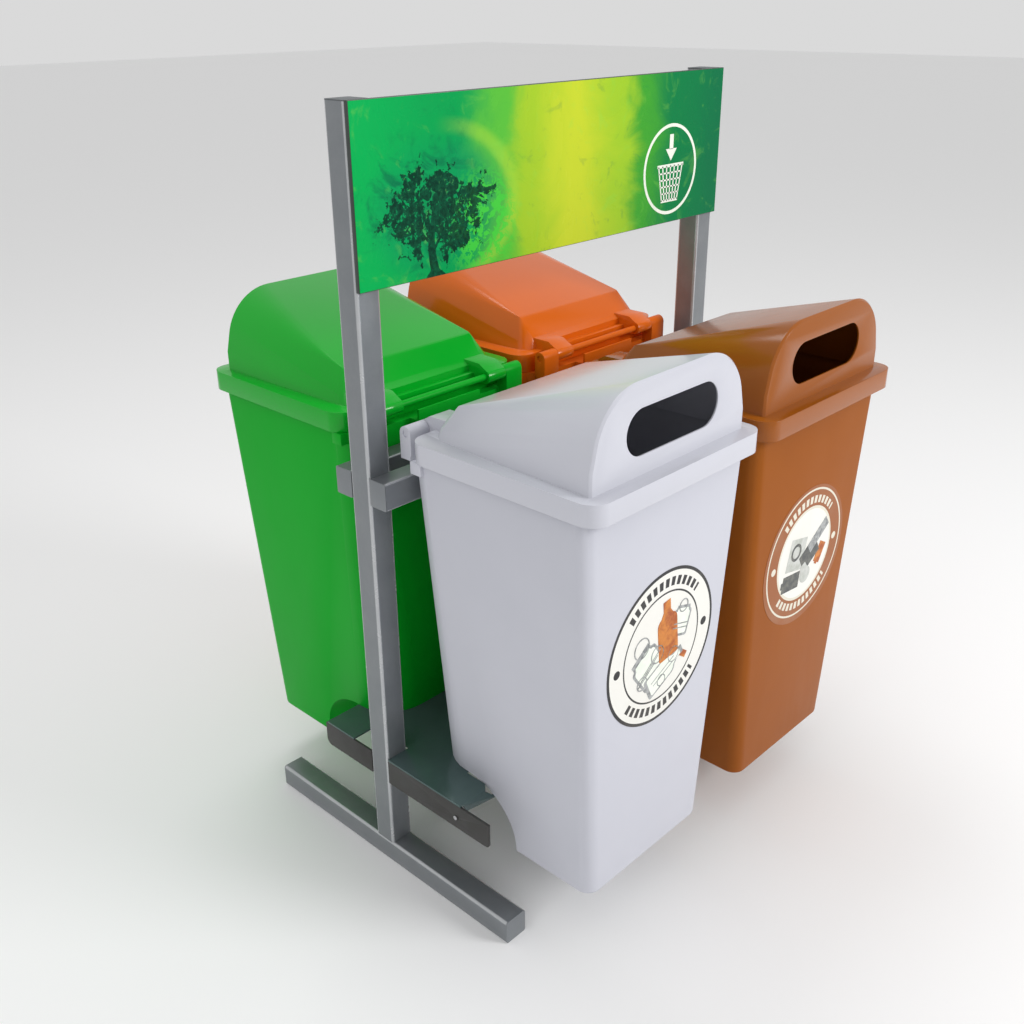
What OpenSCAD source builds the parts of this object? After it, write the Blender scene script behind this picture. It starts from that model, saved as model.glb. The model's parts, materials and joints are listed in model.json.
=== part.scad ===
// Recycling bin station: a free-standing steel frame with a header sign,
// a deck and four hooded bins with hinged lids.
// Millimetres, +X along the sign, +Y to the back, +Z up.
// Origin at the centre of the footprint, on the ground.

/* [Frame] */
// overall width along the sign, outside of the uprights
station_w = 1000; // [830:10:1200]
// height of the top of the uprights and the sign
post_top = 1475; // [1230:5:1770]
// outside size of the square tube
tube_w = 50; // [40:1:60]
// wall of the square tube
tube_wall = 2; // [1.5:0.5:4]
// length of each foot, front to back
foot_len = 690; // [575:5:830]
// height of the top of the two rails
rail_top = 856; // [820:1:880]
// height of each rail
rail_h = 52; // [40:1:62]
// depth of each rail, front to back
rail_d = 41.7; // [35:0.1:42]

/* [Deck] */
// height of the deck's upper face
deck_z = 258; // [215:1:310]
// sheet thickness of the deck
deck_t = 4; // [2:0.5:5]
// reach of the deck to the back
deck_back = 165; // [140:1:165]
// reach of the deck's two ears to the front
deck_front = 229; // [200:1:240]
// reach of the deck between the ears
deck_mid = 165; // [140:1:165]
// thickness of the side bars
bar_t = 5; // [3:0.5:8]
// height of the side bars
bar_h = 52; // [40:1:60]
// reach of the side bars to the front
bar_front = 302; // [270:1:330]
// reach of the side bars to the back
bar_back = 170; // [140:1:200]

/* [Sign] */
// height of the sign
sign_h = 294; // [245:1:350]
// depth of the sign's tray
sign_d = 8.2; // [6:0.1:12]
// thickness of the printed sheet
face_t = 0.8; // [0.5:0.1:2]

/* [Bins] */
// distance from the frame's outer face to the nearest rim
side_inset = 33; // [25:1:45]
// gap between neighbouring rims
rim_gap = 20; // [10:1:30]
// distance from the middle plane to the bodies' back walls
body_back = 68; // [67.5:0.1:75]
// distance from the middle plane to the front of the rims
rim_front = 505.8; // [440:0.1:606]
// how far the rim stands out past the body's front
rim_overhang = 25.8; // [20:0.1:30]
// height of the underside of the bodies
bin_bottom = 125; // [104:1:150]
// height of the lower edge of the rims
rim_low = 897; // [880:1:940]
// height of the rim band
rim_h = 38; // [32:1:46]
// how much narrower each body's bottom is on each side
side_taper = 50; // [40:1:60]
// how much the front wall leans in towards the bottom
front_taper = 14; // [10:1:20]
// wall of the moulded parts
wall = 3.5; // [2.5:0.1:4.2]
// reach of the step under the body
step_reach = 285; // [240:1:300]
// radius of the step's inner corner
step_r = 120; // [100:1:120]

/* [Lids] */
// height of the hood above the rim
hood_h = 155; // [130:1:186]
// height of the hood's back edge above the rim
hood_back_h = 61; // [51:1:73]
// width of the slot
slot_w = 243; // [200:1:290]
// height of the slot
slot_h = 79; // [66:1:95]
// height of the slot's middle above the rim
slot_up = 72.5; // [66:0.5:80]
// wall of the lids
lid_wall = 3; // [2.5:0.1:3.5]

/* [Hinges and labels] */
// radius of the hinge rods, which are also the lifting bars
pin_r = 6.5; // [5.5:0.1:7.5]
// distance from the middle plane to the hinge rods
pin_y = 60; // [58:0.5:62]
// depth of the hinge rods under the top of the rim
pin_drop = 3; // [2.5:0.5:3.5]
// radius of the round labels
label_r = 150; // [125:1:165]
// height of the middle of the labels
label_z = 586; // [560:1:620]

/* [Hidden] */
$fn = 48;
hull_fn = 32;
// running clearance of the hinge rods
pin_gap = 0.08;
// clearance between neighbouring pieces that move apart
gap = 0.3;
// clearance between hinge ears along the rod
ear_gap = 0.6;
// clearance left behind the stuck-on pieces
skin_gap = 0.05;
half_w = station_w / 2;
rail_y0 = tube_w / 2;
rim_w = (station_w - 2 * side_inset - rim_gap) / 2;
rim_hw = rim_w / 2;
bin_x = (rim_w + rim_gap) / 2;
body_hw = rim_hw - 8.5;
foot_hw = body_hw - side_taper;
body_front = rim_front - rim_overhang;
rim_top = rim_low + rim_h;
rim_back = body_back + 23;
rim_r = 35;
neck_back = body_back + 44;
neck_top = rim_top - lid_wall - 0.5;
ledge_z = rim_low - 0.5;
step_z = deck_z + gap;
pin_z = rim_top - pin_drop;
lean = front_taper / (rim_low - bin_bottom);
taper = side_taper / (rim_low - bin_bottom);
rod_half = body_hw - 18;
ear_out0 = 160;
ear_out1 = rod_half + 2;
ear_in = 111.4;
ear_r = 13.5;
label_t = 0.6;
// local positions of the hood, measured along a bin's own depth
hood_front = body_front - 5;
hood_hw = rim_hw - 24.5;
hood_back_hw = rim_hw - 38.5;
hood_top_r = 105;
hood_back_y = body_back + 44;

// ---------------------------------------------------------------- helpers

// a rod along X, centred on x = 0
module x_rod(r, length) {
    rotate([0, 90, 0])
        cylinder(r = r, h = length, center = true);
}

// a flat outline in Y and Z, drawn out along X from x0 to x1
module x_slab(x0, x1) {
    translate([x0, 0, 0])
        rotate([90, 0, 90])
            linear_extrude(x1 - x0)
                children();
}

// both mirror copies across the plane x = 0
module both_sides() {
    children();
    mirror([1, 0, 0])
        children();
}

// a rounded rectangle between two depths, drawn up between two heights
module round_plate(hw, y0, y1, r, z0, z1) {
    translate([0, 0, z0])
        linear_extrude(z1 - z0)
            union() {
                translate([-hw + r, y0])
                    square([2 * hw - 2 * r, y1 - y0]);
                translate([-hw, y0 + r])
                    square([2 * hw, y1 - y0 - 2 * r]);
                for (sx = [-1, 1]) {
                    translate([sx * (hw - r), y0 + r])
                        circle(r = r);
                    translate([sx * (hw - r), y1 - r])
                        circle(r = r);
                }
            }
}

// four thin corner posts with their own back and front radii
module corner_posts(hw, y0, y1, rb, rf, z) {
    for (sx = [-1, 1]) {
        translate([sx * (hw - rb), y0 + rb, z])
            cylinder(r = rb, h = 0.01, $fn = hull_fn);
        translate([sx * (hw - rf), y1 - rf, z])
            cylinder(r = rf, h = 0.01, $fn = hull_fn);
    }
}

// ------------------------------------------------------------------ frame

// a square tube standing up, open at both ends
module tube_up(length) {
    difference() {
        translate([-tube_w / 2, -tube_w / 2, 0])
            cube([tube_w, tube_w, length]);
        translate([-tube_w / 2 + tube_wall, -tube_w / 2 + tube_wall, -1])
            cube([tube_w - 2 * tube_wall, tube_w - 2 * tube_wall, length + 2]);
    }
}

// a plug with a thin flange for the end of a square tube, facing +Z
module tube_cap(flange) {
    translate([-tube_w / 2, -tube_w / 2, 0])
        cube([tube_w, tube_w, flange]);
    translate([-tube_w / 2 + tube_wall + skin_gap, -tube_w / 2 + tube_wall + skin_gap, -12])
        cube([tube_w - 2 * tube_wall - 2 * skin_gap, tube_w - 2 * tube_wall - 2 * skin_gap, 12]);
}

cap_t = 2;

module upright_at(side) {
    translate([side * (half_w - tube_w / 2), 0, tube_w])
        tube_up(post_top - cap_t - tube_w);
}

module left_upright() {
    color([0.42, 0.44, 0.46])
        upright_at(-1);
}

module right_upright() {
    color([0.42, 0.44, 0.46])
        upright_at(1);
}

module upright_caps() {
    color([0.3, 0.31, 0.33])
        for (side = [-1, 1])
            translate([side * (half_w - tube_w / 2), 0, post_top - cap_t])
                tube_cap(cap_t);
}

module foot_at(side) {
    translate([side * (half_w - tube_w / 2), foot_len / 2 - cap_t, tube_w / 2])
        rotate([90, 0, 0])
            tube_up(foot_len - 2 * cap_t);
}

module left_foot() {
    color([0.4, 0.43, 0.45])
        foot_at(-1);
}

module right_foot() {
    color([0.4, 0.43, 0.45])
        foot_at(1);
}

module foot_end_caps() {
    color([0.32, 0.35, 0.37])
        for (side = [-1, 1])
            for (turn = [0, 180])
                translate([side * (half_w - tube_w / 2), 0, tube_w / 2])
                    rotate([0, 0, turn])
                        translate([0, foot_len / 2 - cap_t, 0])
                            rotate([-90, 0, 0])
                                tube_cap(cap_t);
}

// a rail against the uprights, on the side given by the sign of dir
module rail_at(dir) {
    y_mid = dir * (rail_y0 + rail_d / 2);
    difference() {
        translate([-half_w + cap_t, y_mid - rail_d / 2, rail_top - rail_h])
            cube([station_w - 2 * cap_t, rail_d, rail_h]);
        translate([-half_w, y_mid - rail_d / 2 + tube_wall, rail_top - rail_h + tube_wall])
            cube([station_w, rail_d - 2 * tube_wall, rail_h - 2 * tube_wall]);
    }
}

module front_rail() {
    color([0.42, 0.44, 0.46])
        rail_at(-1);
}

module rear_rail() {
    color([0.42, 0.44, 0.46])
        rail_at(1);
}

module rail_end_caps() {
    color([0.36, 0.38, 0.4])
        for (side = [-1, 1])
            for (dir = [-1, 1])
                translate([side * (half_w - cap_t / 2), dir * (rail_y0 + rail_d / 2), rail_top - rail_h / 2])
                    cube([cap_t, rail_d, rail_h], center = true);
}

// ------------------------------------------------------------------- deck

notch_w = tube_w + 5;
notch_back = 79;
ear_w = 66;
ear_cut = 13;

// the deck seen from above: two ears at the front and a notch at each upright
module deck_plate() {
    color([0.24, 0.3, 0.29]) {
        difference() {
            translate([0, 0, deck_z - deck_t])
                linear_extrude(deck_t)
                    polygon([
                        [-half_w, deck_back], [half_w, deck_back],
                        [half_w, -deck_front], [half_w - ear_w, -deck_front],
                        [half_w - ear_w - ear_cut, -deck_front + ear_cut],
                        [half_w - ear_w - ear_cut, -deck_mid],
                        [-half_w + ear_w + ear_cut, -deck_mid],
                        [-half_w + ear_w + ear_cut, -deck_front + ear_cut],
                        [-half_w + ear_w, -deck_front], [-half_w, -deck_front]
                    ]);
            for (side = [-1, 1])
                translate([side * half_w - notch_w, -tube_w / 2 - gap, deck_z - 2 * deck_t])
                    cube([2 * notch_w, notch_back + tube_w / 2 + gap, 4 * deck_t]);
        }
        translate([0, -deck_front + 3, 0])
            rotate([90, 0, 0])
                linear_extrude(3)
                    polygon([
                        [-half_w + 7, deck_z - deck_t], [-half_w + ear_w, deck_z - deck_t],
                        [-half_w + ear_w + 20, deck_z - 24],
                        [half_w - ear_w - 20, deck_z - 24],
                        [half_w - ear_w, deck_z - deck_t], [half_w - 7, deck_z - deck_t],
                        [half_w - 17, deck_z - 21], [half_w - 97, deck_z - 34],
                        [-half_w + 97, deck_z - 34], [-half_w + 17, deck_z - 21]
                    ]);
    }
}

// a side bar from the upright outwards to the given reach, rounded at its free end
module bar_shape(reach, r) {
    difference() {
        translate([tube_w / 2, 0])
            square([reach - tube_w / 2, bar_h]);
        translate([reach - r, 0])
            square([r, r]);
    }
    translate([reach - r, r])
        circle(r = r);
}

module bar_at(side, dir, reach, r) {
    z0 = deck_z - deck_t - bar_h;
    x0 = side > 0 ? half_w - bar_t : -half_w;
    translate([0, 0, z0])
        if (dir > 0)
            x_slab(x0, x0 + bar_t)
                bar_shape(reach, r);
        else
            mirror([0, 1, 0])
                x_slab(x0, x0 + bar_t)
                    bar_shape(reach, r);
}

// a screw hole through both front bars
module screw_holes() {
    translate([0, -deck_front + 13, deck_z - 33])
        x_rod(2.6, 2 * station_w);
}

module left_front_bar() {
    color([0.25, 0.25, 0.25])
        difference() {
            bar_at(-1, -1, bar_front, 8);
            screw_holes();
        }
}

module left_rear_bar() {
    color([0.25, 0.25, 0.25])
        bar_at(-1, 1, bar_back, 14);
}

module right_front_bar() {
    color([0.25, 0.25, 0.25])
        difference() {
            bar_at(1, -1, bar_front, 8);
            screw_holes();
        }
}

module right_rear_bar() {
    color([0.25, 0.25, 0.25])
        bar_at(1, 1, bar_back, 14);
}

// one pan-head screw through each front bar, with its nut inside
module deck_screws() {
    color([0.6, 0.6, 0.62])
        for (side = [-1, 1])
            translate([side * half_w, -deck_front + 13, deck_z - 33])
                rotate([0, side * 90, 0]) {
                    cylinder(r = 4.5, h = 2);
                    translate([0, 0, -bar_t - 6])
                        cylinder(r = 2.5, h = bar_t + 6);
                    translate([0, 0, -bar_t - 4])
                        cylinder(r = 4.6, h = 4, $fn = 6);
                }
}

// ------------------------------------------------------------------- sign

// a shallow folded tray, open at the back
module sign_panel() {
    color([0.2, 0.22, 0.21])
        difference() {
            translate([-half_w, -tube_w / 2 - sign_d, post_top - sign_h])
                cube([station_w, sign_d, sign_h]);
            translate([-half_w + tube_w + 4, -tube_w / 2 - sign_d + 1.5, post_top - sign_h + 1.5])
                cube([station_w - 2 * tube_w - 8, sign_d, sign_h - 3]);
        }
}

module sign_face() {
    color([0.25, 0.75, 0.2])
        translate([-half_w + 1, -tube_w / 2 - sign_d - face_t, post_top - sign_h + 1])
            cube([station_w - 2, face_t, sign_h - 2]);
}

// ------------------------------------------------------------------- bins

// the space under the body's step, grown by t
module step_space(t) {
    r = step_r + t;
    x_slab(-rim_w, rim_w)
        union() {
            translate([-1, 0])
                square([step_reach + t + 1 - r, step_z + t]);
            translate([-1, 0])
                square([step_reach + t + 1, step_z + t - r]);
            translate([step_reach + t - r, step_z + t - r])
                circle(r = r, $fn = 96);
        }
}

module body_outer() {
    hull() {
        corner_posts(foot_hw, body_back, body_front - front_taper, 97, 28, bin_bottom);
        corner_posts(body_hw, body_back, body_front, 60, 28, ledge_z - 0.01);
    }
}

module body_inner() {
    hull() {
        corner_posts(foot_hw - wall, body_back + wall, body_front - front_taper - wall,
            97 - wall, 28 - wall, bin_bottom + wall);
        corner_posts(body_hw - wall, body_back + wall, body_front - wall,
            60 - wall, 28 - wall, ledge_z - wall);
    }
}

// an ear on the body that holds the hinge rod
module body_ear(x0, x1) {
    x_slab(x0, x1)
        union() {
            translate([pin_y, pin_z])
                circle(r = ear_r);
            translate([pin_y - ear_r, ledge_z - 12])
                square([2 * ear_r, pin_z - ledge_z + 12]);
        }
}

module bin_body() {
    difference() {
        union() {
            difference() {
                union() {
                    body_outer();
                    round_plate(body_hw - 0.5, neck_back, body_front - 0.5, 27.5, ledge_z - 2, neck_top);
                }
                difference() {
                    union() {
                        body_inner();
                        round_plate(body_hw - wall - 0.5, neck_back + wall, body_front - wall - 0.5, 27.5 - wall,
                            ledge_z - wall - 1, neck_top + 1);
                    }
                    step_space(wall);
                }
                step_space(0);
            }
            both_sides() {
                difference() {
                    body_ear(ear_out0, ear_out1);
                    translate([-rim_w, body_back + wall, ledge_z - 40])
                        cube([2 * rim_w, 40, 40 - wall]);
                }
                // small grip under the rim at the back corner
                translate([body_hw - 13, body_back + 26, ledge_z - 22])
                    cube([18, 26, 22]);
            }
            // shelf and ribs that stand on the rail
            translate([-80, body_back - 26, ledge_z - 7])
                cube([160, 27, 7]);
            translate([-80, body_back - 26, ledge_z - 7])
                cube([160, 5, 29]);
            for (x = [-77, -26, 26, 77])
                translate([x - 3, body_back - 26, rail_top + gap])
                    cube([6, 27, ledge_z - rail_top - 1]);
        }
        translate([0, pin_y, pin_z])
            x_rod(pin_r + pin_gap, 2 * ear_out1 + 2);
    }
}

module hinge_rod() {
    translate([0, pin_y, pin_z])
        x_rod(pin_r, 2 * rod_half);
}

// a round label on the leaning front wall
module bin_label() {
    y_here = body_front - (rim_low - label_z) * lean;
    translate([0, y_here + skin_gap, label_z])
        rotate([-90 - atan(lean), 0, 0])
            cylinder(r = label_r, h = label_t, $fn = 96);
}

// ------------------------------------------------------------------- lids

// the outline of the hood's front wall, as a thin slab ending at depth y
module hood_arch(hw, top, r, y, t) {
    translate([0, y - t, 0]) {
        for (sx = [-1, 1])
            translate([sx * (hw - r - 6), 0, rim_top + top - r])
                rotate([-90, 0, 0])
                    cylinder(r = r, h = t, $fn = 2 * hull_fn);
        translate([-hw, 0, rim_top - 3])
            cube([2 * hw, t, 40]);
    }
}

module hood_shape(inset) {
    base_z = rim_top - lid_wall - (inset > 0 ? 1 : 0);
    difference() {
        hull() {
            hood_arch(hood_hw - 4 - inset, hood_h - 4 - inset, hood_top_r - 4 - inset,
                hood_front - inset, 0.01);
            hood_arch(hood_hw - inset, hood_h - inset, hood_top_r - inset,
                hood_front - inset - 4, 1);
            translate([0, hood_back_y + 48, rim_top + hood_back_h - 12])
                x_rod(12 - inset, 2 * (hood_back_hw - 27 - inset), $fn = hull_fn);
            for (z = [rim_top - 5, rim_top + 17])
                corner_posts(hood_back_hw - inset - (z - rim_top) / 4,
                    hood_back_y - 2 + inset + (z - rim_top) / 4, hood_back_y + 120,
                    30 - inset, 30 - inset, z);
        }
        translate([-rim_hw, 0, base_z - 100])
            cube([2 * rim_hw, rim_front, 100]);
    }
}

// an arm from the hood back to the hinge rod
module lid_arm(x0, x1) {
    x_slab(x0, x1)
        union() {
            translate([pin_y, pin_z])
                circle(r = ear_r);
            polygon([
                [pin_y, pin_z - ear_r], [rim_back + 1, pin_z - ear_r],
                [rim_back + 3, rim_top - lid_wall], [hood_back_y + 6, rim_top - lid_wall],
                [hood_back_y + 8, rim_top + 22], [pin_y + 16, rim_top + 21],
                [pin_y + 4, rim_top + 14], [pin_y - 7, pin_z + 11.5]
            ]);
        }
}

module bin_lid() {
    difference() {
        union() {
            difference() {
                union() {
                    hood_shape(0);
                    round_plate(rim_hw, rim_back, rim_front, rim_r, rim_low, rim_top);
                    both_sides()
                        lid_arm(ear_in + ear_gap, ear_out0 - ear_gap);
                    // step behind the hood, between the arms
                    x_slab(-ear_in - 5, ear_in + 5)
                        polygon([
                            [rim_back + 14, rim_top - lid_wall], [hood_back_y + 8, rim_top - lid_wall],
                            [hood_back_y + 8, rim_top + 21], [rim_back + 17, rim_top + 14],
                            [rim_back + 14, rim_top + 12]
                        ]);
                }
                round_plate(rim_hw - lid_wall, rim_back + lid_wall, rim_front - lid_wall,
                    rim_r - lid_wall, rim_low - 1, rim_top - lid_wall);
                hood_shape(lid_wall);
            }
        }
        // slot through the front wall
        translate([0, hood_front + 5, rim_top + slot_up])
            rotate([90, 0, 0])
                linear_extrude(25)
                    union() {
                        square([slot_w - slot_h, slot_h], center = true);
                        for (sx = [-1, 1])
                            translate([sx * (slot_w - slot_h) / 2, 0])
                                circle(r = slot_h / 2);
                    }
        translate([0, pin_y, pin_z])
            x_rod(pin_r + pin_gap, 2 * ear_out1 + 2);
    }
}

// --------------------------------------------------------------- placing

// a bin's place: side is -1 or 1 along X, row is 1 at the back and -1 at the front
module place(side, row) {
    translate([side * bin_x, 0, 0])
        rotate([0, 0, row > 0 ? 0 : 180])
            children();
}

white = [0.85, 0.86, 0.9];
brown = [0.52, 0.25, 0.08];
green = [0.02, 0.66, 0.18];
orange = [0.9, 0.36, 0.06];

module white_bin() {
    color(white)
        place(-1, -1)
            bin_body();
}

module white_hinge_rod() {
    color(white)
        place(-1, -1)
            hinge_rod();
}

module white_label() {
    color([0.95, 0.94, 0.9])
        place(-1, -1)
            bin_label();
}

module white_lid() {
    color(white)
        place(-1, -1)
            bin_lid();
}

module brown_bin() {
    color(brown)
        place(1, -1)
            bin_body();
}

module brown_hinge_rod() {
    color(brown)
        place(1, -1)
            hinge_rod();
}

module brown_label() {
    color([0.9, 0.86, 0.74])
        place(1, -1)
            bin_label();
}

module brown_lid() {
    color(brown)
        place(1, -1)
            bin_lid();
}

module green_bin() {
    color(green)
        place(-1, 1)
            bin_body();
}

module green_hinge_rod() {
    color(green)
        place(-1, 1)
            hinge_rod();
}

module green_label() {
    color([0.95, 0.94, 0.9])
        place(-1, 1)
            bin_label();
}

module green_lid() {
    color(green)
        place(-1, 1)
            bin_lid();
}

module orange_bin() {
    color(orange)
        place(1, 1)
            bin_body();
}

module orange_hinge_rod() {
    color(orange)
        place(1, 1)
            hinge_rod();
}

module orange_label() {
    color([0.95, 0.94, 0.9])
        place(1, 1)
            bin_label();
}

module orange_lid() {
    color(orange)
        place(1, 1)
            bin_lid();
}

left_upright();
right_upright();
upright_caps();
left_foot();
right_foot();
foot_end_caps();
front_rail();
rear_rail();
rail_end_caps();
deck_plate();
left_front_bar();
left_rear_bar();
right_front_bar();
right_rear_bar();
deck_screws();
sign_panel();
sign_face();
white_bin();
white_hinge_rod();
white_label();
white_lid();
brown_bin();
brown_hinge_rod();
brown_label();
brown_lid();
green_bin();
green_hinge_rod();
green_label();
green_lid();
orange_bin();
orange_hinge_rod();
orange_label();
orange_lid();
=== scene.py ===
"""Recycling bin station: four hooded bins on a steel frame with a header sign."""
import json
import math

import bpy
from mathutils import Matrix, Vector

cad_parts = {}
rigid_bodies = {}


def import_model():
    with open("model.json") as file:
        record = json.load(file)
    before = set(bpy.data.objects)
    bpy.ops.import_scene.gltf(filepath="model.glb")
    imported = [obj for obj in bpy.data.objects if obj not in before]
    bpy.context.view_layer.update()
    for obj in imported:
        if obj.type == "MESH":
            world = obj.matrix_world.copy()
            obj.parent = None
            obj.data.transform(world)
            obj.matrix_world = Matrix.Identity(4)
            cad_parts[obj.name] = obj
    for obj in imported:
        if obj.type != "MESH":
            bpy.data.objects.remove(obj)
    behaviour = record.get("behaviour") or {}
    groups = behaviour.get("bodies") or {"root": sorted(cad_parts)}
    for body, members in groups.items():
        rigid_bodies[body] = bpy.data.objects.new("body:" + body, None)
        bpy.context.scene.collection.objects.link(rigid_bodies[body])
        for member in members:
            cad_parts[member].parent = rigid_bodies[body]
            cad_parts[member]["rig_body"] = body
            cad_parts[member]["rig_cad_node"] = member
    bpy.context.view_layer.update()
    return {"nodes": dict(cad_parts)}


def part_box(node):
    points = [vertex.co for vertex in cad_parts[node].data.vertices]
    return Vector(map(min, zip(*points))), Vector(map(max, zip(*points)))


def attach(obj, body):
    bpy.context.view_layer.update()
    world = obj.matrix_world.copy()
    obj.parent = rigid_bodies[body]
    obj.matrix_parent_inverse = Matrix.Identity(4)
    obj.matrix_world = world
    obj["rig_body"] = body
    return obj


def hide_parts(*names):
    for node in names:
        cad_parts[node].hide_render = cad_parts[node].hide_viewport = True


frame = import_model()
nodes = frame["nodes"]

# Colours are linear, lengths are metres.
STEEL_GREY = (0.215, 0.230, 0.245, 1)
STEEL_LIGHT = (0.34, 0.35, 0.36, 1)
BAR_GREY = (0.040, 0.038, 0.036, 1)
CAP_GREY = (0.070, 0.080, 0.086, 1)

MERGE_GAP = 0.00002
FLAT_BEND = math.radians(0.4)
PRINT_DEPTH = 0.0003


# ---------------------------------------------------------------- mesh tools

def select_none():
    if bpy.context.object and bpy.context.object.mode != "OBJECT":
        bpy.ops.object.mode_set(mode="OBJECT")
    bpy.ops.object.select_all(action="DESELECT")


def make_active(obj):
    select_none()
    obj.select_set(True)
    bpy.context.view_layer.objects.active = obj


def copy_of_node(name, new_name):
    """A merged copy of a CAD node, with its flat faces joined up."""
    make_active(nodes[name])
    bpy.ops.object.duplicate()
    obj = bpy.context.object
    obj.name = new_name
    obj.data.name = new_name
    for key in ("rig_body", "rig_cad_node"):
        if key in obj:
            del obj[key]
    obj.parent = None
    obj.matrix_world = Matrix.Identity(4)
    obj.data.materials.clear()
    bpy.ops.object.mode_set(mode="EDIT")
    bpy.ops.mesh.select_all(action="SELECT")
    bpy.ops.mesh.customdata_custom_splitnormals_clear()
    bpy.ops.mesh.remove_doubles(threshold=MERGE_GAP)
    bpy.ops.mesh.dissolve_limited(angle_limit=FLAT_BEND, delimit=set())
    bpy.ops.object.mode_set(mode="OBJECT")
    return obj


def pick_edges(obj, test):
    """Selects the edges whose two ends and bend in degrees pass the test; returns their count."""
    make_active(obj)
    bpy.ops.object.mode_set(mode="EDIT")
    bpy.ops.mesh.select_mode(type="EDGE")
    bpy.ops.mesh.select_all(action="DESELECT")
    bpy.ops.object.mode_set(mode="OBJECT")
    mesh = obj.data
    faces_of = {}
    for poly in mesh.polygons:
        for key in poly.edge_keys:
            faces_of.setdefault(key, []).append(poly.normal)
    count = 0
    for edge in mesh.edges:
        normals = faces_of.get(edge.key, [])
        bend = normals[0].angle(normals[1], 0.0) if len(normals) == 2 else 0.0
        a, b = (mesh.vertices[i].co for i in edge.vertices)
        edge.select = test(a, b, math.degrees(bend))
        count += edge.select
    bpy.ops.object.mode_set(mode="EDIT")
    return count


def round_edges(obj, test, radius, segments, slot=-1):
    """Rounds the edges that pass the test, in a material slot of their own if one is given."""
    if pick_edges(obj, test):
        bpy.ops.mesh.bevel(offset=radius, offset_type="OFFSET", segments=segments,
                           profile=0.5, affect="EDGES", clamp_overlap=True,
                           material=slot)
    bpy.ops.object.mode_set(mode="OBJECT")


def smooth(obj, degrees=40):
    make_active(obj)
    bpy.ops.object.shade_smooth_by_angle(angle=math.radians(degrees))


def apply_all(obj):
    make_active(obj)
    for mod in list(obj.modifiers):
        bpy.ops.object.modifier_apply(modifier=mod.name)


def bevel_all(obj, width, segments=3, degrees=40):
    """A small rounding on every crisp edge."""
    mod = obj.modifiers.new("edge_round", "BEVEL")
    mod.width = width
    mod.segments = segments
    mod.limit_method = "ANGLE"
    mod.angle_limit = math.radians(degrees)
    mod.use_clamp_overlap = True
    mod.harden_normals = False
    apply_all(obj)


def stand_for(obj, body, cad_node):
    """Puts a piece on its body, in place of its CAD node."""
    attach(obj, body)
    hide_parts(cad_node)


# ------------------------------------------------------------- node helpers

def new_group(name, inputs, outputs):
    """A shader group with named sockets; returns it with its two end nodes."""
    tree = bpy.data.node_groups.new(name, "ShaderNodeTree")
    for label, kind, value in inputs:
        sock = tree.interface.new_socket(name=label, in_out="INPUT", socket_type=kind)
        sock.default_value = value
    for label, kind in outputs:
        tree.interface.new_socket(name=label, in_out="OUTPUT", socket_type=kind)
    return tree, tree.nodes.new("NodeGroupInput"), tree.nodes.new("NodeGroupOutput")


def add(tree, kind, **settings):
    node = tree.nodes.new(kind)
    for key, value in settings.items():
        setattr(node, key, value)
    return node


def maths(tree, operation, a, b=None):
    node = add(tree, "ShaderNodeMath", operation=operation)
    for i, value in enumerate((a, b)):
        if value is None:
            continue
        if isinstance(value, (int, float)):
            node.inputs[i].default_value = value
        else:
            tree.links.new(value, node.inputs[i])
    return node.outputs[0]


def plus(tree, a, b):
    return maths(tree, "ADD", a, b)


def minus(tree, a, b):
    return maths(tree, "SUBTRACT", a, b)


def times(tree, a, b):
    return maths(tree, "MULTIPLY", a, b)


def below(tree, a, b):
    return maths(tree, "LESS_THAN", a, b)


def above(tree, a, b):
    return maths(tree, "GREATER_THAN", a, b)


def absolute(tree, a):
    return maths(tree, "ABSOLUTE", a)


def mix_colour(tree, factor, a, b, blend="MIX"):
    node = add(tree, "ShaderNodeMix", data_type="RGBA", blend_type=blend)
    for sock, value in ((node.inputs[0], factor), (node.inputs[6], a), (node.inputs[7], b)):
        if isinstance(value, (int, float, tuple)):
            sock.default_value = value
        else:
            tree.links.new(value, sock)
    return node.outputs[2]


def noise(tree, vector, scale, detail=3.0, rough=0.55, distort=0.0):
    node = add(tree, "ShaderNodeTexNoise")
    node.inputs["Scale"].default_value = scale
    node.inputs["Detail"].default_value = detail
    node.inputs["Roughness"].default_value = rough
    node.inputs["Distortion"].default_value = distort
    tree.links.new(vector, node.inputs["Vector"])
    return node.outputs["Fac"]


def ramp(tree, value, low, high, to_low=0.0, to_high=1.0, smooth_step=True):
    node = add(tree, "ShaderNodeMapRange")
    node.interpolation_type = "SMOOTHSTEP" if smooth_step else "LINEAR"
    node.inputs["From Min"].default_value = low
    node.inputs["From Max"].default_value = high
    node.inputs["To Min"].default_value = to_low
    node.inputs["To Max"].default_value = to_high
    tree.links.new(value, node.inputs["Value"])
    return node.outputs["Result"]


def place_of(tree):
    return add(tree, "ShaderNodeTexCoord").outputs["Object"]


def gloss_map(tree, ins, value, low, high):
    """Spreads a value between the group's two gloss inputs."""
    node = add(tree, "ShaderNodeMapRange")
    tree.links.new(value, node.inputs["Value"])
    node.inputs["From Min"].default_value = low
    node.inputs["From Max"].default_value = high
    tree.links.new(ins.outputs["Gloss low"], node.inputs["To Min"])
    tree.links.new(ins.outputs["Gloss high"], node.inputs["To Max"])
    return node.outputs[0]


# ------------------------------------------------------------ shared effects

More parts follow.
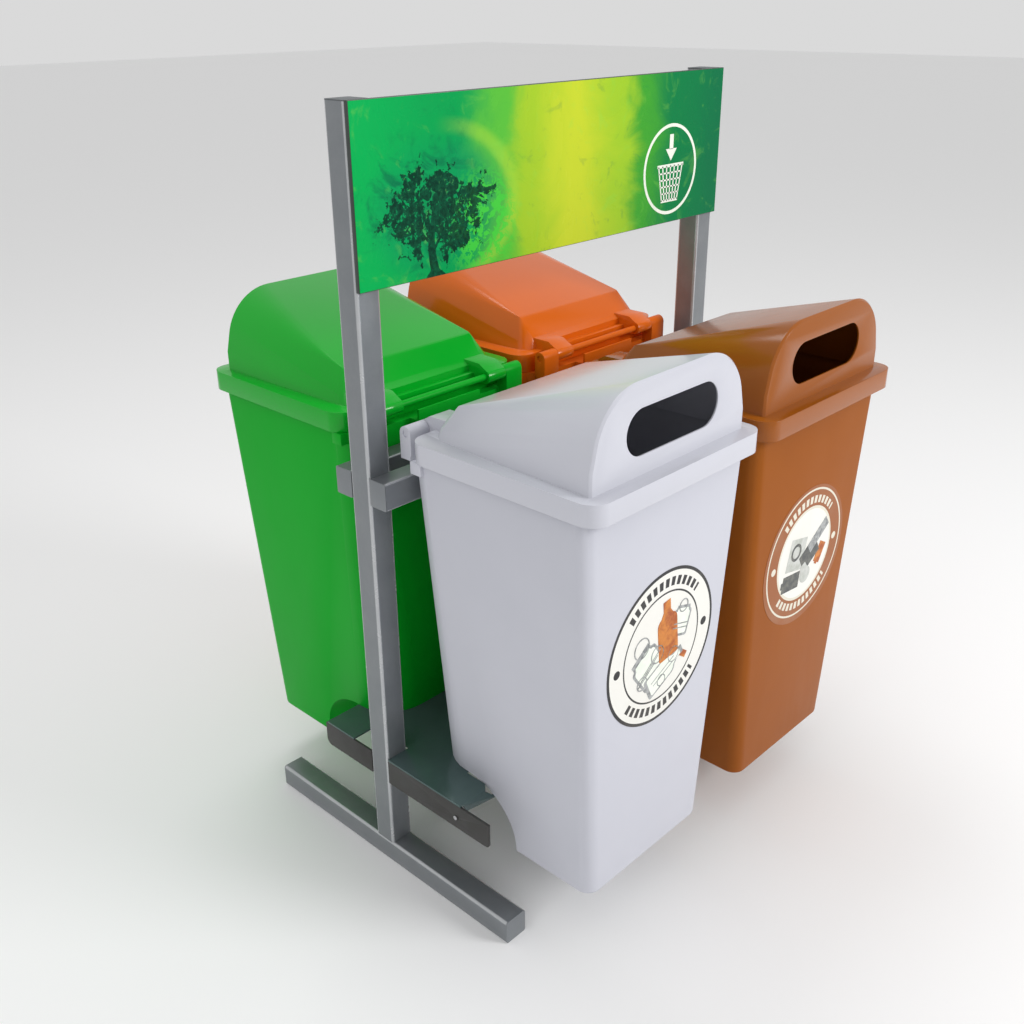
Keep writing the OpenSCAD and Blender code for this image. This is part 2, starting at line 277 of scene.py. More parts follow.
def build_moulded():
    """Moulded plastic: faint colour drift, flow marks and a fine orange peel."""
    tree, ins, outs = new_group(
        "moulded_plastic",
        [("Colour", "NodeSocketColor", (0.5, 0.5, 0.5, 1)),
         ("Shade", "NodeSocketColor", (0.3, 0.3, 0.3, 1)),
         ("Drift", "NodeSocketFloat", 0.25),
         ("Gloss low", "NodeSocketFloat", 0.3),
         ("Gloss high", "NodeSocketFloat", 0.42),
         ("Peel", "NodeSocketFloat", 1.0)],
        [("Colour", "NodeSocketColor"), ("Roughness", "NodeSocketFloat"),
         ("Height", "NodeSocketFloat")])
    at = place_of(tree)
    broad = noise(tree, at, 3.1, 4, 0.6, 0.3)
    stretch = add(tree, "ShaderNodeMapping")
    stretch.inputs["Scale"].default_value = (9, 9, 2.2)
    tree.links.new(at, stretch.inputs["Vector"])
    flow = noise(tree, stretch.outputs[0], 1.0, 5, 0.6, 0.4)
    drift = times(tree, ramp(tree, broad, 0.3, 0.72), ins.outputs["Drift"])
    colour = mix_colour(tree, drift, ins.outputs["Colour"], ins.outputs["Shade"])
    fine = noise(tree, at, 620, 2, 0.5)
    peel = noise(tree, at, 210, 2, 0.5)
    gloss = gloss_map(tree, ins, flow, 0.32, 0.7)
    height = plus(tree, times(tree, peel, ins.outputs["Peel"]),
                   times(tree, fine, 0.35))
    height = plus(tree, height, times(tree, flow, 0.35))
    tree.links.new(colour, outs.inputs["Colour"])
    tree.links.new(gloss, outs.inputs["Roughness"])
    tree.links.new(height, outs.inputs["Height"])
    return tree


def build_coated():
    """Coated steel: cloudy mottling, small light flakes and a fine grain."""
    tree, ins, outs = new_group(
        "coated_steel",
        [("Colour", "NodeSocketColor", (0.2, 0.2, 0.2, 1)),
         ("Light", "NodeSocketColor", (0.4, 0.4, 0.4, 1)),
         ("Mottle", "NodeSocketFloat", 0.3),
         ("Gloss low", "NodeSocketFloat", 0.3),
         ("Gloss high", "NodeSocketFloat", 0.45)],
        [("Colour", "NodeSocketColor"), ("Roughness", "NodeSocketFloat"),
         ("Height", "NodeSocketFloat")])
    at = place_of(tree)
    cloud = noise(tree, at, 14, 5, 0.62, 0.2)
    speck = noise(tree, at, 900, 2, 0.6)
    grain = noise(tree, at, 240, 3, 0.6)
    mask = times(tree, ramp(tree, cloud, 0.35, 0.7), ins.outputs["Mottle"])
    colour = mix_colour(tree, mask, ins.outputs["Colour"], ins.outputs["Light"])
    flake = times(tree, ramp(tree, speck, 0.6, 0.74), 0.28)
    colour = mix_colour(tree, flake, colour, ins.outputs["Light"])
    gloss = gloss_map(tree, ins, cloud, 0.3, 0.72)
    height = plus(tree, grain, times(tree, cloud, 1.5))
    tree.links.new(colour, outs.inputs["Colour"])
    tree.links.new(gloss, outs.inputs["Roughness"])
    tree.links.new(height, outs.inputs["Height"])
    return tree


MOULDED = build_moulded()
COATED = build_coated()


def new_material(name):
    mat = bpy.data.materials.new(name)
    mat.use_nodes = True
    tree = mat.node_tree
    shader = tree.nodes["Principled BSDF"]
    return mat, tree, shader


def use_group(tree, group, values):
    node = add(tree, "ShaderNodeGroup", node_tree=group)
    for key, value in values.items():
        node.inputs[key].default_value = value
    return node


def bump_in(tree, shader, height, strength, distance):
    bump = add(tree, "ShaderNodeBump")
    bump.inputs["Strength"].default_value = strength
    bump.inputs["Distance"].default_value = distance
    tree.links.new(height, bump.inputs["Height"])
    tree.links.new(bump.outputs[0], shader.inputs["Normal"])


def textured(name, group, values, bump_strength, bump_height):
    """A material whose colour, roughness and bump come from a shared effect."""
    mat, tree, shader = new_material(name)
    effect = use_group(tree, group, values)
    tree.links.new(effect.outputs["Colour"], shader.inputs["Base Color"])
    tree.links.new(effect.outputs["Roughness"], shader.inputs["Roughness"])
    bump_in(tree, shader, effect.outputs["Height"], bump_strength, bump_height)
    return mat, shader


def plastic(name, colour, shade, gloss, drift, coat, peel, shine):
    mat, shader = textured(name, MOULDED, {
        "Colour": colour, "Shade": shade, "Drift": drift,
        "Gloss low": gloss[0], "Gloss high": gloss[1], "Peel": peel}, 0.09, 0.0005)
    shader.inputs["Coat Weight"].default_value = coat
    shader.inputs["Coat Roughness"].default_value = 0.12
    shader.inputs["Specular IOR Level"].default_value = shine
    return mat


def coated(name, colour, light, mottle, gloss, metallic):
    mat, shader = textured(name, COATED, {
        "Colour": colour, "Light": light, "Mottle": mottle,
        "Gloss low": gloss[0], "Gloss high": gloss[1]}, 0.12, 0.0004)
    shader.inputs["Metallic"].default_value = metallic
    return mat


frame_paint = coated("frame_paint", STEEL_GREY, STEEL_LIGHT, 0.18, (0.28, 0.38), 0.45)
# A lighter, glossier paint for the rounded long edges of the tubes: a painted highlight along the
# edges.
painted_edge_highlight = coated("painted_edge_highlight", (0.46, 0.475, 0.49, 1), (0.60, 0.61, 0.62, 1),
                    0.4, (0.20, 0.30), 0.5)
cap_plastic = coated("cap_plastic", CAP_GREY, STEEL_GREY, 0.3, (0.45, 0.6), 0.0)
bar_paint = coated("bar_paint", BAR_GREY, (0.10, 0.10, 0.10, 1), 0.35, (0.4, 0.55), 0.35)
deck_paint = coated("deck_paint", (0.075, 0.122, 0.118, 1), (0.10, 0.15, 0.145, 1),
                    0.35, (0.16, 0.24), 0.3)
zinc = coated("zinc", (0.45, 0.45, 0.47, 1), (0.7, 0.7, 0.72, 1), 0.4, (0.25, 0.4), 1.0)
tray_paint = coated("tray_paint", (0.045, 0.055, 0.05, 1), (0.09, 0.10, 0.10, 1),
                    0.3, (0.35, 0.5), 0.4)

# Each tone: plastic, and the darker plastic it drifts to.
COLOURS = {
    "white": ((0.590, 0.595, 0.655, 1), (0.52, 0.53, 0.59, 1)),
    "brown": ((0.320, 0.088, 0.007, 1), (0.23, 0.058, 0.004, 1)),
    "green": ((0.000, 0.395, 0.018, 1), (0.000, 0.31, 0.013, 1)),
    "orange": ((0.72, 0.135, 0.005, 1), (0.57, 0.098, 0.004, 1)),
}
body_plastic = {}
lid_plastic = {}
for tone, (colour, shade) in COLOURS.items():
    body_plastic[tone] = plastic(tone + "_body_plastic", colour, shade, gloss=(0.36, 0.46),
                                 drift=0.3, coat=0.0, peel=1.0, shine=0.14)
    lid_plastic[tone] = plastic(tone + "_lid_plastic", colour, shade, gloss=(0.15, 0.23),
                                drift=0.2, coat=0.08, peel=0.5, shine=0.30)


# ------------------------------------------------------------------- frame

# Each part of the frame: finish, and the width of its edge rounding.
STEEL_PARTS = {
    "left_upright": (frame_paint, 0.005), "right_upright": (frame_paint, 0.005),
    "left_foot": (frame_paint, 0.005), "right_foot": (frame_paint, 0.005),
    "front_rail": (frame_paint, 0.003), "rear_rail": (frame_paint, 0.003),
    "upright_caps": (cap_plastic, 0.001), "foot_end_caps": (frame_paint, 0.0009),
    "rail_end_caps": (frame_paint, 0.0009), "deck_plate": (deck_paint, 0.0012),
    "left_front_bar": (bar_paint, 0.0012), "left_rear_bar": (bar_paint, 0.0012),
    "right_front_bar": (bar_paint, 0.0012), "right_rear_bar": (bar_paint, 0.0012),
    "deck_screws": (zinc, 0.0006), "sign_panel": (tray_paint, 0.0006),
}

# The axis each tube runs along.
TUBES = {"left_upright": 2, "right_upright": 2, "left_foot": 1, "right_foot": 1,
         "front_rail": 0, "rear_rail": 0}

# The axis each set of caps faces, and the radius of the tube's corners.
CAPS = {"upright_caps": (2, 0.005), "foot_end_caps": (1, 0.005), "rail_end_caps": (0, 0.003)}

CORNER_BEND = 60
TUBE_EDGE_LENGTH = 0.2
CAP_THIN, CAP_THICK = 0.0012, 0.0032


def long_outer_edges(lo, hi, axis, slack=0.0002):
    """Edges that run along an axis on the outer corners of a tube."""
    others = [i for i in range(3) if i != axis]

    def test(a, b, bend):
        if abs(a[axis] - b[axis]) < TUBE_EDGE_LENGTH or bend < CORNER_BEND:
            return False
        return all(min(abs(a[i] - lo[i]), abs(a[i] - hi[i])) < slack for i in others)
    return test


def short_corner_edges(axis, slack=0.0001):
    """The short edges of a thin cap that carry on a tube's corners."""
    others = [i for i in range(3) if i != axis]

    def test(a, b, bend):
        along = CAP_THIN < abs(a[axis] - b[axis]) < CAP_THICK
        return bend > CORNER_BEND and along and all(abs(a[i] - b[i]) < slack for i in others)
    return test


for name, (finish, radius) in STEEL_PARTS.items():
    piece = copy_of_node(name, name + "_steel")
    piece.data.materials.append(finish)
    if name in TUBES:
        # The rounded long edges of each tube take the lighter paint in slot 1, a painted highlight.
        piece.data.materials.append(painted_edge_highlight)
        lo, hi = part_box(name)
        round_edges(piece, long_outer_edges(lo, hi, TUBES[name]), radius, 5, 1)
    elif name in CAPS:
        axis, corner = CAPS[name]
        round_edges(piece, short_corner_edges(axis), corner, 5)
        bevel_all(piece, radius, 2, 50)
    else:
        bevel_all(piece, radius, 2)
    smooth(piece, 35)
    stand_for(piece, "frame", name)


# -------------------------------------------------------------------- bins

BIN_X = 0.2385
PLACE = {"white": (-1, -1), "brown": (1, -1), "green": (-1, 1), "orange": (1, 1)}

BASE_LEVEL = 0.1262
RIM_TOP = 0.935
RIM_SIDE, RIM_FRONT = 0.226, 0.5035
RIM_BACK, RIM_BACK_SIDE = 0.128, 0.19
EDGE_RADIUS, EDGE_BEVEL, EDGE_BEND = 0.006, 0.0012, 34


def own_place(tone, co):
    """A point in the bin's own directions: across, out from the frame, up."""
    side, row = PLACE[tone]
    return Vector(((co.x - side * BIN_X) * row, co.y * row, co.z))


def soften(tone, part, moulding, big_edges, finish, body):
    """A moulded piece with one large rounding where asked and a small one elsewhere."""
    piece = copy_of_node(tone + part, tone + moulding)
    round_edges(piece, big_edges, EDGE_RADIUS, 4)
    bevel_all(piece, EDGE_BEVEL, 2, EDGE_BEND)
    smooth(piece, EDGE_BEND)
    piece.data.materials.append(finish)
    stand_for(piece, tone + body, tone + part)


def soften_bin(tone):
    def base_outline(a, b, bend):
        return bend > 40 and max(a.z, b.z) < BASE_LEVEL

    soften(tone, "_bin", "_bin_moulding", base_outline, body_plastic[tone], "_body")


def soften_lid(tone):
    def rim_top_edge(a, b, bend):
        level = all(abs(q.z - RIM_TOP) < 0.0003 for q in (a, b))
        outside = all(abs(q.x) > RIM_SIDE or q.y > RIM_FRONT
                      or (q.y < RIM_BACK and abs(q.x) > RIM_BACK_SIDE)
                      for q in (own_place(tone, a), own_place(tone, b)))
        return level and bend > CORNER_BEND and outside

    soften(tone, "_lid", "_lid_moulding", rim_top_edge, lid_plastic[tone], "_hood")


def soften_rod(tone):
    piece = copy_of_node(tone + "_hinge_rod", tone + "_rod_moulding")
    bevel_all(piece, 0.0015, 3, 40)
    smooth(piece, 35)
    piece.data.materials.append(body_plastic[tone])
    stand_for(piece, tone + "_body", tone + "_hinge_rod")


for tone in COLOURS:
    soften_bin(tone)
    soften_lid(tone)
    soften_rod(tone)


# -------------------------------------------------------------------- prints

def distance_to(tree, at, centre, scale):
    """Distance from a centre after scaling the axes."""
    shift = add(tree, "ShaderNodeVectorMath", operation="SUBTRACT")
    tree.links.new(at, shift.inputs[0])
    shift.inputs[1].default_value = centre
    stretch = add(tree, "ShaderNodeVectorMath", operation="MULTIPLY")
    tree.links.new(shift.outputs[0], stretch.inputs[0])
    stretch.inputs[1].default_value = scale
    length = add(tree, "ShaderNodeVectorMath", operation="LENGTH")
    tree.links.new(stretch.outputs[0], length.inputs[0])
    return length.outputs["Value"]


HALO_AT = (-0.315, 0, 1.295)
SWIRL_AT = (-0.36, 0, 1.30)
BUSH_AT = (-0.215, 0, 1.255)
CROWN_AT = (-0.328, 0, 1.286)
TRUNK_SHIFT, TRUNK_TOP = 0.335, 1.315
BOUGH_SHIFT, BOUGH_HALF, BOUGH_RISE = 0.337, 0.0034, 0.075


def build_tree_print():
    """The header's painting: a green field that glows yellow in the middle, and a tree."""
    tree, ins, outs = new_group("header_painting", [("Swirl", "NodeSocketFloat", 1.0)],
                                [("Colour", "NodeSocketColor"), ("Fade", "NodeSocketFloat")])
    at = place_of(tree)
    parts = add(tree, "ShaderNodeSeparateXYZ")
    tree.links.new(at, parts.inputs[0])
    x, z = parts.outputs["X"], parts.outputs["Z"]
    smoke = noise(tree, at, 5.5, 6, 0.62, 1.2)
    wisps = noise(tree, at, 17, 5, 0.6, 1.6)
    sway = times(tree, minus(tree, smoke, 0.5), ins.outputs["Swirl"])
    u = plus(tree, x, times(tree, sway, 0.16))
    field = add(tree, "ShaderNodeValToRGB")
    field.color_ramp.interpolation = "EASE"
    stops = field.color_ramp.elements
    stops[0].position = 0.0
    stops[0].color = (0.000, 0.42, 0.085, 1)
    stops[1].position = 1.0
    stops[1].color = (0.000, 0.155, 0.055, 1)
    # position along the header, and the colour there
    for spot, tint in ((0.22, (0.000, 0.34, 0.075, 1)), (0.33, (0.10, 0.50, 0.045, 1)),
                       (0.40, (0.36, 0.58, 0.025, 1)), (0.52, (0.56, 0.66, 0.030, 1)),
                       (0.66, (0.34, 0.58, 0.025, 1)), (0.73, (0.05, 0.36, 0.03, 1)),
                       (0.84, (0.000, 0.20, 0.055, 1))):
        stop = stops.new(spot)
        stop.color = tint
    tree.links.new(plus(tree, u, 0.5), field.inputs[0])
    # a soft round halo behind the tree
    halo_at = distance_to(tree, at, HALO_AT, (1.0, 0, 1.35))
    halo = times(tree, ramp(tree, halo_at, 0.185, 0.10), 0.75)
    halo = times(tree, halo, ramp(tree, smoke, 0.25, 0.6, 0.45, 1.0))
    colour = mix_colour(tree, halo, field.outputs[0], (0.000, 0.30, 0.100, 1))
    rim = times(tree, ramp(tree, halo_at, 0.15, 0.172), ramp(tree, halo_at, 0.20, 0.178))
    rim = times(tree, times(tree, rim, ramp(tree, x, -0.33, -0.2)), 0.35)
    colour = mix_colour(tree, rim, colour, (0.45, 0.72, 0.05, 1))
    # light and dark wisps, and a dark swirl
    light = times(tree, ramp(tree, wisps, 0.56, 0.72), 0.22)
    colour = mix_colour(tree, light, colour, (0.22, 0.66, 0.08, 1))
    dark = times(tree, ramp(tree, wisps, 0.42, 0.3), 0.25)
    colour = mix_colour(tree, dark, colour, (0.0, 0.20, 0.06, 1))
    swirl_at = distance_to(tree, at, SWIRL_AT, (1.0, 0, 1.3))
    swirl = times(tree, ramp(tree, noise(tree, at, 11, 5, 0.65, 2.2), 0.50, 0.66),
                  ramp(tree, swirl_at, 0.20, 0.06))
    colour = mix_colour(tree, times(tree, swirl, 0.75), colour, (0.000, 0.13, 0.060, 1))
    # bright young leaves beside the crown
    leaf = noise(tree, at, 62, 3, 0.7, 0.8)
    bush_at = distance_to(tree, at, BUSH_AT, (1.0, 0, 0.9))
    bush = times(tree, ramp(tree, bush_at, 0.105, 0.045), ramp(tree, leaf, 0.47, 0.52))
    colour = mix_colour(tree, times(tree, bush, 0.85), colour, (0.06, 0.62, 0.05, 1))
    # crown
    coarse = noise(tree, at, 24, 4, 0.7, 0.6)
    fine = noise(tree, at, 95, 3, 0.75, 0.5)
    crown_at = distance_to(tree, at, CROWN_AT, (1.0, 0, 1.45))
    ragged = plus(tree, crown_at, times(tree, minus(tree, coarse, 0.5), 0.30))
    ragged = plus(tree, ragged, times(tree, minus(tree, fine, 0.5), 0.11))
    crown = ramp(tree, ragged, 0.102, 0.092)
    holes = ramp(tree, plus(tree, fine, times(tree, coarse, 0.5)), 0.83, 0.88)
    crown = times(tree, crown, minus(tree, 1.0, times(tree, holes, 0.8)))
    # trunk and four boughs
    lean = times(tree, maths(tree, "SINE", times(tree, z, 42.0)), 0.005)
    middle = plus(tree, x, plus(tree, lean, TRUNK_SHIFT))
    girth = ramp(tree, z, 1.18, 1.30, 0.0105, 0.0045, False)
    flare = ramp(tree, z, 1.195, 1.181, 0.0, 0.012)
    trunk = below(tree, absolute(tree, middle), plus(tree, girth, flare))
    trunk = times(tree, trunk, below(tree, z, TRUNK_TOP))
    masks = maths(tree, "MAXIMUM", crown, trunk)
    for tilt, start in ((0.85, 1.222), (-0.95, 1.236), (0.35, 1.245), (-0.4, 1.25)):
        rise = minus(tree, z, start)
        line = minus(tree, plus(tree, x, BOUGH_SHIFT), times(tree, rise, tilt))
        line = plus(tree, line, times(tree, minus(tree, coarse, 0.5), 0.02))
        bough = below(tree, absolute(tree, line), BOUGH_HALF)
        bough = times(tree, bough, above(tree, rise, 0.0))
        bough = times(tree, bough, below(tree, rise, BOUGH_RISE))
        masks = maths(tree, "MAXIMUM", masks, bough)
    bark = mix_colour(tree, ramp(tree, fine, 0.35, 0.7),
                      (0.000, 0.018, 0.014, 1), (0.002, 0.085, 0.040, 1))
    colour = mix_colour(tree, times(tree, masks, 0.93), colour, bark)
    gilt = times(tree, ramp(tree, fine, 0.60, 0.66), ramp(tree, z, 1.30, 1.345))
    gilt = times(tree, times(tree, gilt, crown), 0.6)
    colour = mix_colour(tree, gilt, colour, (0.30, 0.50, 0.03, 1))
    tree.links.new(colour, outs.inputs["Colour"])
    tree.links.new(ramp(tree, smoke, 0.3, 0.7, 0.22, 0.32), outs.inputs["Fade"])
    return tree


def header_print():
    mat, tree, shader = new_material("header_print")
    art = use_group(tree, build_tree_print(), {"Swirl": 1.0})
    tree.links.new(art.outputs["Colour"], shader.inputs["Base Color"])
    tree.links.new(art.outputs["Fade"], shader.inputs["Roughness"])
    film = noise(tree, place_of(tree), 340, 2)
    bump_in(tree, shader, film, 0.05, 0.0003)
    shader.inputs["Specular IOR Level"].default_value = 0.10
    return mat


STICKER_EDGE, MIDDLE_RADIUS = 0.15, 0.106
DASH_RADIUS, DASH_HALF, DASH_REACH, DASH_COUNT = 0.1245, 0.0085, 0.86, 46.0
DOT_SQUARED = 0.000072
QUARTER_TURN = 1.5708


def build_label_rings():
    """A round sticker: rings, two dashed arcs and two side dots."""
    tree, ins, outs = new_group(
        "label_rings",
        [("Centre", "NodeSocketVector", (0, 0, 0)),
         ("Field", "NodeSocketColor", (0.9, 0.9, 0.86, 1)),
         ("Ink", "NodeSocketColor", (0.01, 0.01, 0.01, 1)),
         ("Middle", "NodeSocketColor", (0.9, 0.9, 0.86, 1)),
         ("Inner width", "NodeSocketFloat", 0.0024),
         ("Edge", "NodeSocketFloat", 0.144),
         ("Size", "NodeSocketFloat", 1.0)],
        [("Colour", "NodeSocketColor"), ("Height", "NodeSocketFloat")])
    at = place_of(tree)
    shift = add(tree, "ShaderNodeVectorMath", operation="SUBTRACT")
    tree.links.new(at, shift.inputs[0])
    tree.links.new(ins.outputs["Centre"], shift.inputs[1])
    parts = add(tree, "ShaderNodeSeparateXYZ")
    tree.links.new(shift.outputs[0], parts.inputs[0])
    x = maths(tree, "DIVIDE", parts.outputs["X"], ins.outputs["Size"])
    z = maths(tree, "DIVIDE", parts.outputs["Z"], ins.outputs["Size"])
    rad = maths(tree, "SQRT", plus(tree, times(tree, x, x), times(tree, z, z)))
    outer = above(tree, rad, ins.outputs["Edge"])
    gap = absolute(tree, minus(tree, rad, MIDDLE_RADIUS))
    inner = below(tree, gap, ins.outputs["Inner width"])
    band = below(tree, absolute(tree, minus(tree, rad, DASH_RADIUS)), DASH_HALF)
    angle = absolute(tree, maths(tree, "ARCTAN2", z, x))
    upright = below(tree, absolute(tree, minus(tree, angle, QUARTER_TURN)), DASH_REACH)
    spoke = maths(tree, "SINE", times(tree, angle, DASH_COUNT))
    arcs = times(tree, times(tree, band, upright), above(tree, spoke, -0.35))
    side = minus(tree, absolute(tree, x), DASH_RADIUS)
    dot = below(tree, plus(tree, times(tree, side, side), times(tree, z, z)), DOT_SQUARED)
    ink = maths(tree, "MAXIMUM", maths(tree, "MAXIMUM", outer, inner),
                maths(tree, "MAXIMUM", arcs, dot))
    edge = above(tree, rad, STICKER_EDGE)
    inside = below(tree, rad, MIDDLE_RADIUS)
    colour = mix_colour(tree, inside, ins.outputs["Field"], ins.outputs["Middle"])
    colour = mix_colour(tree, ink, colour, ins.outputs["Ink"])
    colour = mix_colour(tree, edge, colour, ins.outputs["Field"])
    age = times(tree, ramp(tree, noise(tree, at, 9, 4, 0.6), 0.45, 0.75), 0.10)
    colour = mix_colour(tree, age, colour, (0.55, 0.50, 0.40, 1))
    tree.links.new(colour, outs.inputs["Colour"])
    grain = times(tree, noise(tree, at, 700, 2), 0.5)
    tree.links.new(plus(tree, grain, times(tree, ink, 0.4)), outs.inputs["Height"])
    return tree


RINGS = build_label_rings()
LABEL_Z = 0.586
PRINT_Z = {"white": LABEL_Z, "brown": 0.590, "green": LABEL_Z, "orange": LABEL_Z}
# The wall that carries the label draws in from its top downward.
LEAN = math.radians(1.039)
WALL_TOP_OUT, WALL_TOP_Z = 0.480, 0.897
WALL_OUT = WALL_TOP_OUT - (WALL_TOP_Z - LABEL_Z) * math.tan(LEAN)
STICKER_DEPTH = 0.00065


def label_frame(tone):
    """The matrix from label coordinates (right, up, out) to the scene's."""
    side, row = PLACE[tone]
    out = Vector((0, row * math.cos(LEAN), -math.sin(LEAN)))
    right_hand = Vector((-row, 0, 0))
    upward = out.cross(right_hand)
    turn = Matrix((right_hand, upward, out)).transposed().to_4x4()
    centre = Vector((side * BIN_X, row * (WALL_OUT + STICKER_DEPTH), LABEL_Z))
    return Matrix.Translation(centre) @ turn


def label_material(tone, field, ink, middle, inner_width, edge, size):
    mat, tree, shader = new_material(tone + "_label_print")
    side, row = PLACE[tone]
    art = use_group(tree, RINGS, {
        "Centre": (side * BIN_X, row * 0.475, PRINT_Z[tone]), "Field": field, "Ink": ink,
        "Middle": middle, "Inner width": inner_width, "Edge": edge, "Size": size})
    tree.links.new(art.outputs["Colour"], shader.inputs["Base Color"])
    bump_in(tree, shader, art.outputs["Height"], 0.08, 0.0003)
    shader.inputs["Roughness"].default_value = 0.42
    return mat


def ink_material(name, colour, dark, scale=60):
    mat, tree, shader = new_material(name)
    at = place_of(tree)
    blot = noise(tree, at, scale, 4, 0.6, 0.5)
    shade = mix_colour(tree, ramp(tree, blot, 0.35, 0.68), colour, dark)
    tree.links.new(shade, shader.inputs["Base Color"])
    tree.links.new(ramp(tree, blot, 0.3, 0.7, 0.38, 0.5), shader.inputs["Roughness"])
    bump_in(tree, shader, noise(tree, at, 600, 2), 0.05, 0.0002)
    return mat


CREAM = (0.74, 0.70, 0.58, 1)
PAPER = (0.84, 0.83, 0.78, 1)
BLACK = (0.008, 0.008, 0.010, 1)
# Each label: field, ink, middle, half width of the inner ring, outer ring, size.
LABELS = {
    "white": (PAPER, BLACK, PAPER, 0.0017, 0.144, 1.0),
    "brown": ((0.310, 0.085, 0.007, 1), CREAM, PAPER, 0.0032, 0.1455, 0.93),
    "green": (PAPER, (0.0, 0.10, 0.03, 1), PAPER, 0.0017, 0.144, 1.0),
    "orange": (PAPER, (0.30, 0.045, 0.004, 1), PAPER, 0.0017, 0.144, 1.0),
}
amber_ink = ink_material("amber_ink", (0.62, 0.20, 0.012, 1), (0.36, 0.07, 0.005, 1), 45)
grey_ink = ink_material("grey_ink", (0.42, 0.43, 0.43, 1), (0.20, 0.21, 0.21, 1), 90)
dark_ink = ink_material("dark_ink", (0.055, 0.060, 0.060, 1), (0.16, 0.16, 0.14, 1), 70)
pale_ink = ink_material("pale_ink", (0.60, 0.61, 0.58, 1), (0.45, 0.47, 0.42, 1), 50)
leaf_ink = ink_material("leaf_ink", (0.02, 0.30, 0.05, 1), (0.01, 0.16, 0.03, 1), 60)
white_ink = ink_material("white_ink", (0.90, 0.93, 0.84, 1), (0.80, 0.88, 0.76, 1), 30)


def thicken_and_lay(piece, place, ink, body, depth, centre=(0, 0)):
    """Thickens the outline being edited, centres it and lays the piece on its surface."""
    bpy.ops.mesh.extrude_region_move(TRANSFORM_OT_translate={"value": (0, 0, depth)})
    bpy.ops.mesh.select_all(action="SELECT")
    bpy.ops.mesh.normals_make_consistent(inside=False)
    bpy.ops.object.mode_set(mode="OBJECT")
    piece.data.transform(Matrix.Translation((*centre, 0)))
    piece.data.transform(place)
    piece.data.materials.append(ink)
    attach(piece, body)


def flat_piece(name, outline, place, ink, body, depth=PRINT_DEPTH):
    """A thin printed shape from an outline, laid on a surface."""
    select_none()
    bpy.ops.mesh.primitive_circle_add(vertices=len(outline), radius=1, fill_type="NGON")
    piece = bpy.context.object
    piece.name = name
    piece.data.name = name
    for vert, (px, py) in zip(piece.data.vertices, outline):
        vert.co = (px, py, 0)
    bpy.ops.object.mode_set(mode="EDIT")
    bpy.ops.mesh.select_all(action="SELECT")
    bpy.ops.mesh.normals_make_consistent(inside=False)
    thicken_and_lay(piece, place, ink, body, depth)


def ring_piece(name, ring, place, ink, body, depth=PRINT_DEPTH):
    """A thin printed ring from its radius, width, segments and centre."""
    radius, width, segments, centre = ring
    outside, inside = radius + width / 2, radius - width / 2
    select_none()
    bpy.ops.mesh.primitive_circle_add(vertices=segments, radius=outside, fill_type="NOTHING")
    piece = bpy.context.object
    piece.name = name
    piece.data.name = name
    bpy.ops.object.mode_set(mode="EDIT")
    bpy.ops.mesh.select_all(action="SELECT")
    bpy.ops.mesh.extrude_edges_move()
    bpy.ops.transform.resize(value=[inside / outside] * 3)
    bpy.ops.mesh.select_all(action="SELECT")
    thicken_and_lay(piece, place, ink, body, depth, centre)


def turned(outline, degrees, shift=(0, 0), scale=1.0):
    """An outline scaled, turned and moved."""
    c, s = math.cos(math.radians(degrees)), math.sin(math.radians(degrees))
    return [(scale * (c * px - s * py) + shift[0], scale * (s * px + c * py) + shift[1])
            for px, py in outline]


def arc(cx, cy, r, a0, a1, steps):
    """Points along an arc between two angles in degrees."""
    return [(cx + r * math.cos(math.radians(a0 + (a1 - a0) * i / steps)),
             cy + r * math.sin(math.radians(a0 + (a1 - a0) * i / steps))) for i in range(steps + 1)]


BOTTLE = ([(-0.020, -0.055), (0.020, -0.055)] + arc(0.020, -0.050, 0.005, -60, 0, 3)
          + [(0.025, 0.010)] + arc(0.010, 0.012, 0.015, 0, 70, 5) + [(0.009, 0.036), (0.009, 0.055)]
          + [(-0.009, 0.055), (-0.009, 0.036)] + arc(-0.010, 0.012, 0.015, 110, 180, 5)
          + [(-0.025, 0.010)] + arc(-0.020, -0.050, 0.005, 180, 240, 3))
JAR = ([(-0.026, -0.034), (0.026, -0.034)] + arc(0.026, -0.028, 0.006, -60, 0, 3)
       + [(0.032, 0.018)] + arc(0.024, 0.020, 0.008, 0, 80, 4) + [(0.022, 0.036), (-0.022, 0.036)]
       + arc(-0.024, 0.020, 0.008, 100, 180, 4) + [(-0.032, 0.018)]
       + arc(-0.026, -0.028, 0.006, 180, 240, 3))
CELL = [(-0.018, -0.034), (0.018, -0.034), (0.018, 0.030), (0.007, 0.030), (0.007, 0.036),
        (-0.007, 0.036), (-0.007, 0.030), (-0.018, 0.030)]
BULB = arc(0, 0.012, 0.026, -50, 230, 20) + [(-0.011, -0.030), (0.011, -0.030)]
LEAF = arc(0.030, 0, 0.050, 130, 230, 10) + arc(-0.034, 0, 0.050, -50, 50, 10)


def stripe(width, height):
    x, y = width / 2, height / 2
    return [(-x, -y), (x, -y), (x, y), (-x, y)]


# The white label's hoops: radius and place.
HOOPS_AT = ((0.020, (-0.058, 0.022)), (0.017, (-0.012, -0.010)), (0.015, (0.036, -0.030)),
            (0.013, (-0.052, -0.052)), (0.012, (0.058, 0.060)), (0.011, (0.004, -0.070)))

# The white label's thin lines: length, turn and place.
LINES_AT = ((0.060, 38, (-0.034, -0.030)), (0.062, 38, (-0.028, -0.020)),
            (0.056, 38, (-0.040, -0.040)), (0.044, -16, (0.052, 0.026)),
            (0.044, -16, (0.050, 0.018)), (0.070, 26, (0.006, -0.050)),
            (0.064, 26, (0.010, -0.058)))

